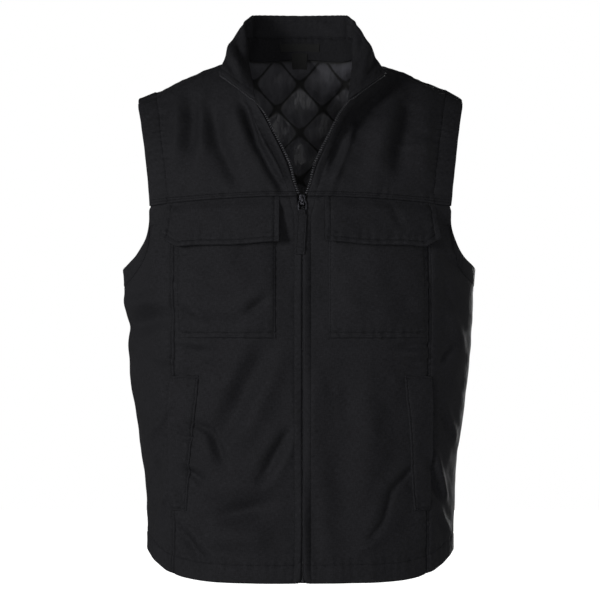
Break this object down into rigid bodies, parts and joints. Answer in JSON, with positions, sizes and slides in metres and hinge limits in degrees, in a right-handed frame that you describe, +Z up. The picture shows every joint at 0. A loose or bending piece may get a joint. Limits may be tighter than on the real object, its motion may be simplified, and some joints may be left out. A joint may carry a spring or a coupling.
{
  "type": "insulated work vest",
  "caption": "Sleeveless work vest with an opened stand collar, a front zip part undone, flapped chest pockets, hand pockets and a quilted lining, in the shape it has when worn.",
  "frame": {"origin": "between the shoulders on the wearer's centre plane, at the height where the shoulder line meets the neck", "axes": "+Z up along the body, the front faces -Y, the wearer's left is +X"},
  "size_m": [0.4966, 0.2439, 0.7911],
  "materials": {
    "canvas": "black cotton twill canvas with tone-on-tone topstitching",
    "canvas_inside": "the same twill on the inside, unworn",
    "quilted_satin": "satin quilted in diamonds over thin filling",
    "zip_tape": "ribbed woven tape",
    "zip_teeth": "moulded black teeth with a slight gloss",
    "zip_metal": "dark plated metal, worn bright at its edges",
    "label_cloth": "plain woven label, bare"
  },
  "bodies": {
    "root": {"back_panel": "canvas", "collar": "canvas", "pull_tab": "canvas", "front_panel_left": "canvas", "front_panel_right": "canvas", "front_yoke_left": "canvas", "front_yoke_right": "canvas", "side_panel_left": "canvas", "side_panel_right": "canvas", "chest_pocket_left": "canvas", "chest_pocket_right": "canvas", "pocket_flap_left": "canvas", "pocket_flap_right": "canvas", "hand_pocket_welt_left": "canvas", "hand_pocket_welt_right": "canvas", "neck_band": "canvas_inside", "front_facing_left": "canvas_inside", "front_facing_right": "canvas_inside", "lining_back": "quilted_satin", "lining_front_left": "quilted_satin", "lining_front_right": "quilted_satin", "lining_side_left": "quilted_satin", "lining_side_right": "quilted_satin", "zip_tape_left": "zip_tape", "zip_tape_right": "zip_tape", "zip_chain": "zip_teeth", "zip_teeth_left": "zip_teeth", "zip_teeth_right": "zip_teeth", "zip_slider": "zip_metal", "pull_ring": "zip_metal", "neck_label": "label_cloth", "size_tab": "label_cloth"}
  },
  "joints": []
}
